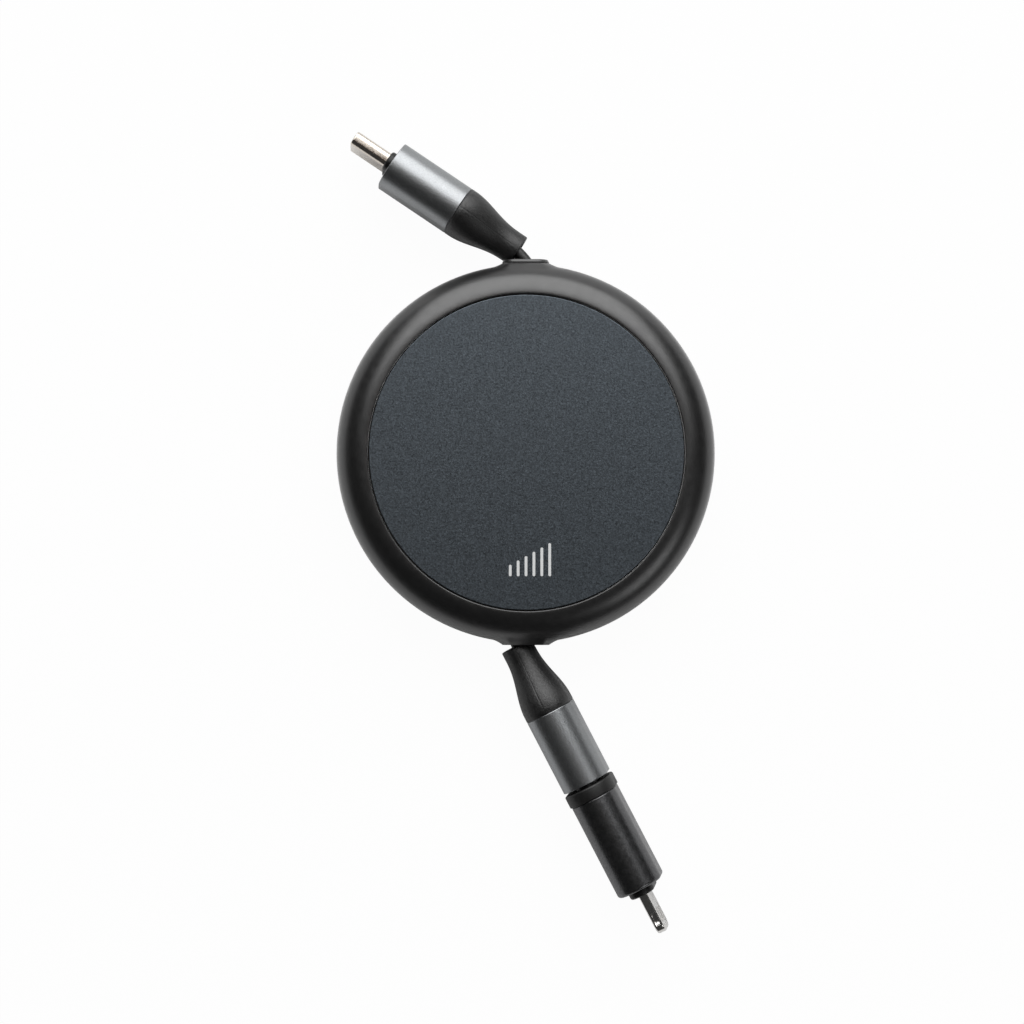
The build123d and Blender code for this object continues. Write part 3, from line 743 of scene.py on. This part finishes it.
class CABLE_OT_level_mark(bpy.types.Operator):
    """Print a generic level mark: a row of upright strokes that grow to the right"""

    bl_idname = "cable.level_mark"
    bl_label = "Level mark"

    stroke: length("Stroke", 0.00044, "Width of one stroke")
    first_x: length("First stroke", -0.0026, "Middle of the first stroke")
    pitch: length("Pitch", 0.00124, "From one stroke to the next")
    foot_y: length("Foot", -0.0195, "Foot of the strokes")
    shortest: length("Shortest", 0.0018, "Height of the first stroke")
    tallest: length("Tallest", 0.0052, "Height of the last stroke")
    thickness: length("Thickness", 0.00002, "Thickness of the print")
    strokes: count("Strokes", 6, "How many strokes")

    def execute(self, context):
        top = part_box("face_plate")[1].z
        row = []
        for index in range(self.strokes):
            tall = self.shortest + (self.tallest - self.shortest) * index / (self.strokes - 1)
            size = (self.stroke, tall, self.stroke / 2)
            stroke = bar(f"level_stroke_{index}", size, 0, self.thickness, FLAT_POINTS)
            spot = (self.first_x + index * self.pitch, self.foot_y + tall / 2, top)
            row.append(settle(stroke, Matrix.Translation(spot)))
        take(row[0])
        for stroke in row:
            stroke.select_set(True)
        bpy.ops.object.join()
        row[0].name = "level_mark"
        dress(row[0], make_finish("mark_print"), "housing", "plate")
        return {"FINISHED"}


class CABLE_OT_grommets(bpy.types.Operator):
    """Model the lip and neck that line each cable mouth"""

    bl_idname = "cable.grommets"
    bl_label = "Grommets"

    def execute(self, context):
        sizes = context.scene.cable_housing
        finish = make_finish("housing_moulding")
        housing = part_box("rear_cover")[1].x
        for name, end, back, lip in (
            ("upper", 1, housing + sizes.upper_proud + sizes.lip_gap, sizes.upper_lip),
            ("lower", -1, housing + sizes.lower_proud - sizes.lower_lip, sizes.lower_lip),
        ):
            node = f"{name}_grommet"
            width, height, start, _ = local_size(node, mouth_frame(end))
            wall = (width - sizes.bore_width) / 2
            corner = sizes.bore_corner + wall
            neck = sizes.lip_inset
            round_off = lip * LIP_ROUND
            slope = lip / sizes.upper_lip * sizes.lip_slope
            front = back + lip
            profile = [(neck, back), (round_off / 2, back), (0, back + round_off)]
            profile += arc((slope + round_off, front - round_off), round_off, LIP_LEAN, 90, steps=4)
            profile += [(wall - round_off, front), (wall, front - round_off), (wall, start)]
            skin = Rings(f"{node}_lip", width, height, corner, start, LIP_POINTS, capped=False)
            skin.pick(skin.ring)
            skin.shape(width - 2 * neck, height - 2 * neck, corner - neck, start)
            skin.follow(profile)
            dress(settle(skin.closed(), mouth_frame(end)), finish, "housing", "grommet", node)
        return {"FINISHED"}


# Leads and plugs

class CABLE_OT_leads(bpy.types.Operator):
    """Model each flat lead from the wound cable, out of its mouth and into its relief"""

    bl_idname = "cable.leads"
    bl_label = "Leads"

    def execute(self, context):
        sizes = context.scene.cable_plug
        finish = make_finish("lead_jacket")
        turns = {"upper": Vector(sizes.upper_turn), "lower": Vector(sizes.lower_turn)}
        for name, body, where in plugs():
            end = where.translation.copy()
            turn = turns[name]
            last = where @ Vector((0, 0, sizes.pocket_depth - sizes.pocket_end_gap))
            route = [self.leaves_coil(turn, sizes), turn, end, last]
            lead = settle(self.sweep(f"{name}_lead", route, sizes))
            coat(lead, finish)
            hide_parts(f"{name}_cable")
            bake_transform(lead)
        return {"FINISHED"}

    def leaves_coil(self, turn, sizes):
        """Where a straight lead to this turn leaves the wound cable."""
        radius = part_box("cable_coil")[1].x + sizes.lead_thickness / 2 + sizes.lay_gap
        bearing = atan2(turn.y, turn.x) - acos(radius / turn.xy.length)
        return Vector((radius * cos(bearing), radius * sin(bearing), turn.z))

    def sweep(self, name, route, sizes):
        """A flat cable along a smooth line that follows the route."""
        size = (sizes.lead_thickness, sizes.lead_width, sizes.lead_corner)
        section = Rings("lead_section", *size, 0, FLAT_POINTS, capped=False).done()
        take(section)
        bpy.ops.object.convert(target="CURVE")
        section = bpy.context.object
        start_fresh()
        bpy.ops.curve.primitive_nurbs_path_add()
        line = bpy.context.object
        line.name = name
        line.data.splines.clear()
        spline = line.data.splines.new("NURBS")
        spline.points.add(len(route) - 1)
        for point, spot in zip(spline.points, route):
            point.co = (*spot, 1)
        spline.order_u = 3
        spline.use_endpoint_u = True
        spline.resolution_u = 24
        line.data.twist_mode = "Z_UP"
        line.data.bevel_mode = "OBJECT"
        line.data.bevel_object = section
        line.data.use_fill_caps = True
        take(line)
        bpy.ops.object.convert(target="MESH")
        lead = bpy.context.object
        bpy.data.objects.remove(section)
        edit(lead)
        bpy.ops.mesh.select_all(action="SELECT")
        bpy.ops.mesh.remove_doubles(threshold=TINY)
        face_outwards()
        start_fresh()
        return lead


class CABLE_OT_strain_reliefs(bpy.types.Operator):
    """Model each moulded taper, with the lead's slot and a fine parting line"""

    bl_idname = "cable.strain_reliefs"
    bl_label = "Strain reliefs"

    def execute(self, context):
        sizes = context.scene.cable_plug
        finish = make_finish("relief_moulding")
        for name, body, where in plugs():
            node = f"{name}_strain_relief"
            relief = self.taper(f"{node}_moulding", *local_size(node, where), sizes)
            self.score(relief, sizes)
            settle(relief, where, smooth=50)
            dress(relief, finish, body, "relief", node)
        return {"FINISHED"}

    def taper(self, name, width, height, start, far, sizes):
        """The taper along a plug's own axis, from the slot's floor round to the spigot's end."""
        edge = sizes.relief_edge
        rim = sizes.sleeve_edge / 2
        slot = (sizes.pocket_width, sizes.pocket_height, sizes.pocket_corner)
        grow_x = width - sizes.narrow_width
        grow_y = height - sizes.narrow_height
        skin = Rings(name, *slot, start + sizes.pocket_depth, sizes.points)
        skin.to(*slot, start)
        for inset, along in arc((edge, start + edge), edge, 270, 180, steps=4):
            skin.oval(sizes.narrow_width - 2 * inset, sizes.narrow_height - 2 * inset, along)
        widening = sizes.relief_length - sizes.straight - sizes.shoulder
        steps = 18
        for step in range(steps + 1):
            share = (1 - cos(pi * (step / steps) ** sizes.ease)) / 2
            along = start + sizes.straight + widening * step / steps
            skin.oval(sizes.narrow_width + share * grow_x, sizes.narrow_height + share * grow_y, along)
        shoulder = start + sizes.relief_length
        spigot = 2 * (sizes.sleeve_wall + sizes.fit_gap)
        skin.oval(width, height, shoulder - rim)
        skin.oval(width - 2 * rim, height - 2 * rim, shoulder)
        skin.oval(width - spigot, height - spigot, shoulder)
        skin.oval(width - spigot, height - spigot, far)
        return skin.done()

    def score(self, relief, sizes):
        """Sinks a fine parting line along the top and the bottom of the taper."""
        inner = sizes.narrow_width / 2
        last = sizes.relief_length - sizes.sleeve_edge

        def on_line(spot):
            return abs(spot.x) < TINY and abs(spot.y) > inner and sizes.relief_edge < spot.z < last

        edit(relief, "EDGE")
        pick_edges(relief, on_line)
        bpy.ops.mesh.bevel(offset=sizes.parting_width / 2, segments=2, affect="EDGES")
        bpy.ops.mesh.select_mode(type="VERT")
        pick_points(relief, on_line)
        bpy.ops.transform.shrink_fatten(value=-sizes.parting_depth)
        start_fresh()


class CABLE_OT_sleeves(bpy.types.Operator):
    """Model each plug's oval sleeve"""

    bl_idname = "cable.sleeves"
    bl_label = "Sleeves"

    def execute(self, context):
        sizes = context.scene.cable_plug
        finish = make_finish("sleeve_grain")
        edge = sizes.sleeve_edge
        wall = sizes.sleeve_wall
        for name, body, where in plugs():
            node = f"{name}_sleeve"
            width, height, start, end = local_size(node, where)
            bore = (width - 2 * wall, height - 2 * wall, width / 2 - wall)
            skin = Rings(f"{node}_tube", *bore, start, sizes.points, capped=False)
            skin.outline = (width, height, width / 2)
            skin.follow(arc((edge, start + edge), edge, 270, 180, steps=4))
            skin.follow(arc((edge, end - edge), edge, 180, 90, steps=4))
            skin.follow(arc((wall - edge, end - edge), edge, 90, 0, steps=4))
            dress(settle(skin.closed(), where), finish, body, "sleeve", node)
        return {"FINISHED"}


class CABLE_OT_plug_bases(bpy.types.Operator):
    """Model the step that carries each metal tip"""

    bl_idname = "cable.plug_bases"
    bl_label = "Plug bases"

    def execute(self, context):
        sizes = context.scene.cable_plug
        finish = make_finish("step_black")
        edge = sizes.boss_edge
        for name, body, where in plugs():
            node = f"{name}_plug_base"
            width, height, start, end = local_size(node, where)
            tip_width, tip_height = local_size(f"{name}_plug_tube", where)[:2]
            hole = (tip_width + 2 * sizes.fit_gap, tip_height + 2 * sizes.fit_gap)
            step = end - sizes.boss_length
            skin = Rings(f"{node}_step", *hole, hole[0] / 2, start, sizes.points, capped=False)
            skin.oval(width, height, start)
            skin.oval(width, height, step)
            for inset, along in [(0, step)] + arc((edge, end - edge), edge, 180, 90, steps=5):
                skin.oval(sizes.boss_width - 2 * inset, sizes.boss_height - 2 * inset, along)
            skin.oval(*hole, end)
            dress(settle(skin.closed(), where), finish, body, "plug_base", node)
        return {"FINISHED"}


class CABLE_OT_plug_tips(bpy.types.Operator):
    """Model each plug's polished oval tip"""

    bl_idname = "cable.plug_tips"
    bl_label = "Plug tips"

    def execute(self, context):
        sizes = context.scene.cable_plug
        finish = make_finish("tip_plating")
        wall = sizes.tip_wall
        edge = sizes.tip_edge
        inner = wall - edge
        for name, body, where in plugs():
            node = f"{name}_plug_tube"
            width, height, start, end = local_size(node, where)
            skin = Rings(f"{node}_tip", width, height, sizes.tip_corner, start, sizes.points, capped=False)
            skin.follow(arc((edge, end - edge), edge, 180, 90, steps=6))
            skin.follow(arc((edge, end - inner), inner, 90, 0, steps=3)[1:])
            skin.follow([(wall, start)])
            dress(settle(skin.closed(), where), finish, body, "tip_metal", node)
        return {"FINISHED"}


# Adapter

def adapter_frame():
    """The adapter's own frame, which is the lower plug's."""
    return plug_frame("adapter_pull", bpy.context.scene.cable_plug.lower_roll)


class CABLE_OT_adapter_shell(bpy.types.Operator):
    """Model the adapter's collar, body and tip step"""

    bl_idname = "cable.adapter_shell"
    bl_label = "Adapter shell"

    def execute(self, context):
        where = adapter_frame()
        shapes = {
            "adapter_collar": (self.collar, make_finish("collar_matte")),
            "adapter_body": (self.body, make_finish("adapter_satin")),
            "adapter_tip_base": (self.tip_step, make_finish("step_black")),
        }
        for node, (shape, finish) in shapes.items():
            shell = shape(f"{node}_shell", where, context.scene.cable_adapter, context.scene.cable_plug)
            dress(settle(shell, where), finish, "adapter", "adapter", node)
        return {"FINISHED"}

    def collar(self, name, where, sizes, plug):
        """The band with its opening for the plug's step, and the spigot inside the body."""
        width, height, start, end = local_size("adapter_collar", where)
        socket_width, socket_height, socket_start, _ = local_size("adapter_socket_tube", where)
        body_width, body_height = local_size("adapter_body", where)[:2]
        gap = 2 * plug.fit_gap
        seat = (socket_width + gap, socket_height + gap)
        bore = (plug.boss_width + 2 * sizes.bore_margin, plug.boss_height + 2 * sizes.bore_margin)
        spigot = 2 * sizes.body_wall + gap
        band = start + sizes.collar_length
        edge = sizes.collar_edge
        skin = Rings(name, *seat, seat[0] / 2, end, plug.points, capped=False)
        skin.oval(*seat, socket_start)
        skin.oval(*bore, socket_start)
        skin.oval(*bore, start)
        skin.outline = (width, height, width / 2)
        skin.follow(arc((edge, start + edge), edge, 270, 180, steps=5))
        skin.follow(arc((edge / 2, band - edge / 2), edge / 2, 180, 90, steps=4))
        skin.oval(body_width - spigot, body_height - spigot, band)
        skin.oval(body_width - spigot, body_height - spigot, end)
        return skin.closed()

    def body(self, name, where, sizes, plug):
        """The shell with its round far end, open for the collar's spigot and the tip step."""
        width, height, start, end = local_size("adapter_body", where)
        gap = 2 * plug.fit_gap
        hole = (sizes.step_width + gap, sizes.step_height + gap)
        wall = 2 * sizes.body_wall
        inner = (width - wall, height - wall)
        edge = sizes.body_edge
        seam = sizes.seam_edge
        skin = Rings(name, *inner, inner[0] / 2, end - sizes.end_wall, plug.points, capped=False)
        skin.oval(*inner, start)
        skin.outline = (width, height, width / 2)
        skin.follow(arc((seam, start + seam), seam, 270, 180, steps=3))
        skin.follow(arc((edge, end - edge), edge, 180, 90, steps=6))
        skin.oval(*hole, end)
        skin.oval(*hole, end - sizes.end_wall)
        return skin.closed()

    def tip_step(self, name, where, sizes, plug):
        """The step that carries the blade, with its flange inside the body."""
        width, height, start, end = local_size("adapter_tip_base", where)
        blade_width, blade_height = local_size("adapter_blade", where)[:2]
        gap = 2 * plug.fit_gap
        slot = (blade_width + gap, blade_height + gap)
        edge = sizes.step_edge
        skin = Rings(name, *slot, slot[0] / 2, end - sizes.blade_seat, plug.points)
        skin.oval(*slot, end)
        skin.outline = (sizes.step_width, sizes.step_height, sizes.step_width / 2)
        skin.follow(arc((edge, end - edge), edge, 90, 180, steps=5))
        skin.follow([(0, start + sizes.flange)])
        skin.oval(width, height, start + sizes.flange)
        skin.oval(width, height, start)
        return skin.done()


class CABLE_OT_adapter_blade(bpy.types.Operator):
    """Model the flat metal tip with its round corners, catch notches and contact window"""

    bl_idname = "cable.adapter_blade"
    bl_label = "Adapter blade"

    def execute(self, context):
        sizes = context.scene.cable_adapter
        where = adapter_frame()
        thick, tall, start, end = local_size("adapter_blade", where)
        blade = self.slab(thick, tall, start, end, sizes)
        for side in (-1, 1):
            cut(blade, self.notch(side, tall, end, sizes))
        cut(blade, self.window(thick, where, sizes))
        settle(blade, where)
        dress(blade, make_finish("blade_plating"), "adapter", "tip_metal", "adapter_blade")
        return {"FINISHED"}

    def slab(self, thick, tall, start, end, sizes):
        """A flat bar with round far corners and softened edges, across the adapter's X axis."""
        start_fresh()
        bpy.ops.mesh.primitive_plane_add(size=1, rotation=(0, radians(90), 0))
        blade = bpy.context.object
        blade.name = "adapter_blade_plated"
        bpy.ops.object.transform_apply(location=True, rotation=True, scale=True)
        edit(blade)
        bpy.ops.mesh.select_all(action="SELECT")
        bpy.ops.transform.resize(value=(1, tall, end - start), center_override=(0, 0, 0))
        bpy.ops.transform.translate(value=(-thick / 2, 0, (start + end) / 2))
        pick_points(blade, lambda spot: spot.z > end - sizes.blade_edge)
        bpy.ops.mesh.bevel(offset=sizes.blade_corner, segments=10, affect="VERTICES")
        bpy.ops.mesh.select_all(action="SELECT")
        bpy.ops.mesh.extrude_region()
        bpy.ops.transform.translate(value=(thick, 0, 0))
        face_outwards()
        start_fresh()
        use_modifier(
            blade, "BEVEL", width=sizes.blade_edge, segments=4, limit_method="ANGLE", angle_limit=radians(60)
        )
        return blade

    def notch(self, side, tall, end, sizes):
        """A short round bar that scoops a notch out of one edge."""
        start_fresh()
        middle = side * (tall / 2 + sizes.notch_radius - sizes.notch_depth)
        bpy.ops.mesh.primitive_cylinder_add(
            vertices=BAR_POINTS,
            radius=sizes.notch_radius,
            depth=sizes.notch_width,
            location=(0, middle, end - sizes.notch_from_tip),
            rotation=(0, radians(90), 0),
        )
        return bpy.context.object

    def window(self, thick, where, sizes):
        """A bar with round corners that opens the contact window."""
        low, high = local_box("adapter_blade_insulator", where)
        opening = (high.y - low.y, high.z - low.z, sizes.window_corner)
        cutter = bar("window_cutter", opening, -thick, thick, BAR_POINTS)
        turned = Matrix(((0, 0, 1), (1, 0, 0), (0, 1, 0))).to_4x4()
        cutter.matrix_world = Matrix.Translation((0, 0, (low.z + high.z) / 2)) @ turned
        return cutter


class CABLE_OT_inner_pieces(bpy.types.Operator):
    """Give every CAD node that stays its finish"""

    bl_idname = "cable.inner_pieces"
    bl_label = "Inner pieces"

    def execute(self, context):
        chips = ("upper_chip", "lower_chip", "adapter_chip")
        blocks = ("upper_contact_block", "lower_contact_block", "adapter_socket_tongue")
        for name, nodes in (
            ("steel", ("centre_screw", "lock_ball", "power_spring")),
            ("inner_moulding", ("spool", "spool_cover", "plate_tape", *blocks, *chips)),
            ("blade_insert", ("adapter_blade_insulator",)),
            ("contact_gold", ("upper_contacts", "lower_contacts")),
            ("blade_plating", ("adapter_blade_pads",)),
            ("board_lacquer", ("upper_board", "lower_board", "adapter_board")),
            ("lead_jacket", ("cable_coil",)),
            ("tip_plating", ("adapter_socket_tube",)),
        ):
            finish = make_finish(name)
            for node in nodes:
                coat(frame["nodes"][node], finish)
        return {"FINISHED"}


# Stage

class CABLE_OT_stage(bpy.types.Operator):
    """Set up the pale floor, the soft light and the camera"""

    bl_idname = "cable.stage"
    bl_label = "Stage"

    def execute(self, context):
        stage = context.scene.cable_stage
        context.scene.view_settings.view_transform = "Standard"
        self.floor(stage)
        self.room(context.scene, stage)
        self.softbox("key_softbox", stage.key_place, stage.key_width, stage.key_height, stage.key_power)
        self.softbox("side_softbox", stage.side_place, stage.side_width, stage.side_width, stage.side_power)
        top = self.softbox("top_softbox", stage.top_place, stage.top_width, stage.top_width, stage.top_power)
        top.color = stage.top_colour
        self.camera(context.scene, stage)
        return {"FINISHED"}

    def floor(self, stage):
        """A pale floor that shows white, with some of the object's shadow left on it."""
        start_fresh()
        bpy.ops.mesh.primitive_plane_add(size=stage.floor_size, location=(0, 0, -stage.floor_drop))
        floor = bpy.context.object
        floor.name = "floor"
        paper = bpy.data.materials.new("floor_paper")
        paper.use_nodes = True
        nodes = paper.node_tree.nodes
        link = paper.node_tree.links.new
        nodes.clear()
        path = nodes.new("ShaderNodeLightPath")
        either = nodes.new("ShaderNodeMath")
        either.operation = "MAXIMUM"
        mirrored = nodes.new("ShaderNodeMath")
        mirrored.operation = "MULTIPLY"
        mirrored.inputs[1].default_value = stage.reflection
        seen = nodes.new("ShaderNodeMath")
        seen.operation = "MULTIPLY_ADD"
        seen.inputs[1].default_value = 1 - stage.shadow
        matte = nodes.new("ShaderNodeBsdfDiffuse")
        matte.inputs["Color"].default_value = (*stage.paper, 1)
        white = nodes.new("ShaderNodeEmission")
        mixed = nodes.new("ShaderNodeMixShader")
        output = nodes.new("ShaderNodeOutputMaterial")
        link(path.outputs["Is Glossy Ray"], either.inputs[0])
        link(path.outputs["Is Transmission Ray"], either.inputs[1])
        link(either.outputs[0], mirrored.inputs[0])
        link(path.outputs["Is Camera Ray"], seen.inputs[0])
        link(mirrored.outputs[0], seen.inputs[2])
        link(seen.outputs[0], mixed.inputs["Fac"])
        link(matte.outputs[0], mixed.inputs[1])
        link(white.outputs[0], mixed.inputs[2])
        link(mixed.outputs[0], output.inputs["Surface"])
        floor.data.materials.append(paper)

    def room(self, scene, stage):
        """Plain dim light from all round."""
        scene.world = bpy.data.worlds.new("room")
        scene.world.use_nodes = True
        background = scene.world.node_tree.nodes["Background"]
        background.inputs["Color"].default_value = (1, 1, 1, 1)
        background.inputs["Strength"].default_value = stage.ambient

    def softbox(self, name, spot, width, height, power):
        """A flat soft light that faces the middle of the object."""
        start_fresh()
        aim = Vector(spot).to_track_quat("Z", "Y").to_euler()
        bpy.ops.object.light_add(type="AREA", location=spot, rotation=aim)
        light = bpy.context.object
        light.name = name
        light.data.shape = "RECTANGLE"
        light.data.size = width
        light.data.size_y = height
        light.data.energy = power
        light.visible_camera = False
        return light.data

    def camera(self, scene, stage):
        """A camera high over the object, with +Y upwards in its view."""
        start_fresh()
        bpy.ops.object.camera_add()
        camera = bpy.context.object
        camera.name = "view"
        back = (Vector(stage.camera_place) - Vector(stage.camera_aim)).normalized()
        right = Vector((0, 1, 0)).cross(back).normalized()
        up = back.cross(right)
        turned = Matrix((right, up, back)).transposed().to_4x4()
        camera.matrix_world = Matrix.Translation(stage.camera_place) @ turned
        camera.data.lens = stage.lens
        camera.data.clip_start = 0.01
        scene.camera = camera


# Add-on

SETTINGS = {
    "cable_housing": CableHousingSizes,
    "cable_plug": CablePlugSizes,
    "cable_adapter": CableAdapterSizes,
    "cable_colours": CableColours,
    "cable_stage": CableStage,
}
STEPS = (
    CABLE_OT_front_cover,
    CABLE_OT_rear_cover,
    CABLE_OT_face_plate,
    CABLE_OT_level_mark,
    CABLE_OT_grommets,
    CABLE_OT_leads,
    CABLE_OT_strain_reliefs,
    CABLE_OT_sleeves,
    CABLE_OT_plug_bases,
    CABLE_OT_plug_tips,
    CABLE_OT_adapter_shell,
    CABLE_OT_adapter_blade,
    CABLE_OT_inner_pieces,
    CABLE_OT_stage,
)


class CABLE_PT_panel(bpy.types.Panel):
    """Lists the steps and the settings"""

    bl_idname = "CABLE_PT_panel"
    bl_label = "Charging cable"
    bl_space_type = "VIEW_3D"
    bl_region_type = "UI"
    bl_category = "Cable"

    def draw(self, context):
        for step in STEPS:
            self.layout.operator(step.bl_idname)
        for group in SETTINGS:
            settings = getattr(context.scene, group)
            box = self.layout.box()
            for setting in SETTINGS[group].__annotations__:
                box.prop(settings, setting)


def register():
    for part in (*SETTINGS.values(), *STEPS, CABLE_PT_panel):
        bpy.utils.register_class(part)
    for name, group in SETTINGS.items():
        setattr(bpy.types.Scene, name, PointerProperty(type=group))


def unregister():
    for name in SETTINGS:
        delattr(bpy.types.Scene, name)
    for part in (CABLE_PT_panel, *STEPS, *SETTINGS.values()):
        bpy.utils.unregister_class(part)


def main():
    """Builds every piece and the stage."""
    register()
    bpy.ops.cable.front_cover()
    bpy.ops.cable.rear_cover()
    bpy.ops.cable.face_plate()
    bpy.ops.cable.level_mark()
    bpy.ops.cable.grommets()
    bpy.ops.cable.leads()
    bpy.ops.cable.strain_reliefs()
    bpy.ops.cable.sleeves()
    bpy.ops.cable.plug_bases()
    bpy.ops.cable.plug_tips()
    bpy.ops.cable.adapter_shell()
    bpy.ops.cable.adapter_blade()
    bpy.ops.cable.inner_pieces()
    bpy.ops.cable.stage()


if __name__ == "__main__":
    main()
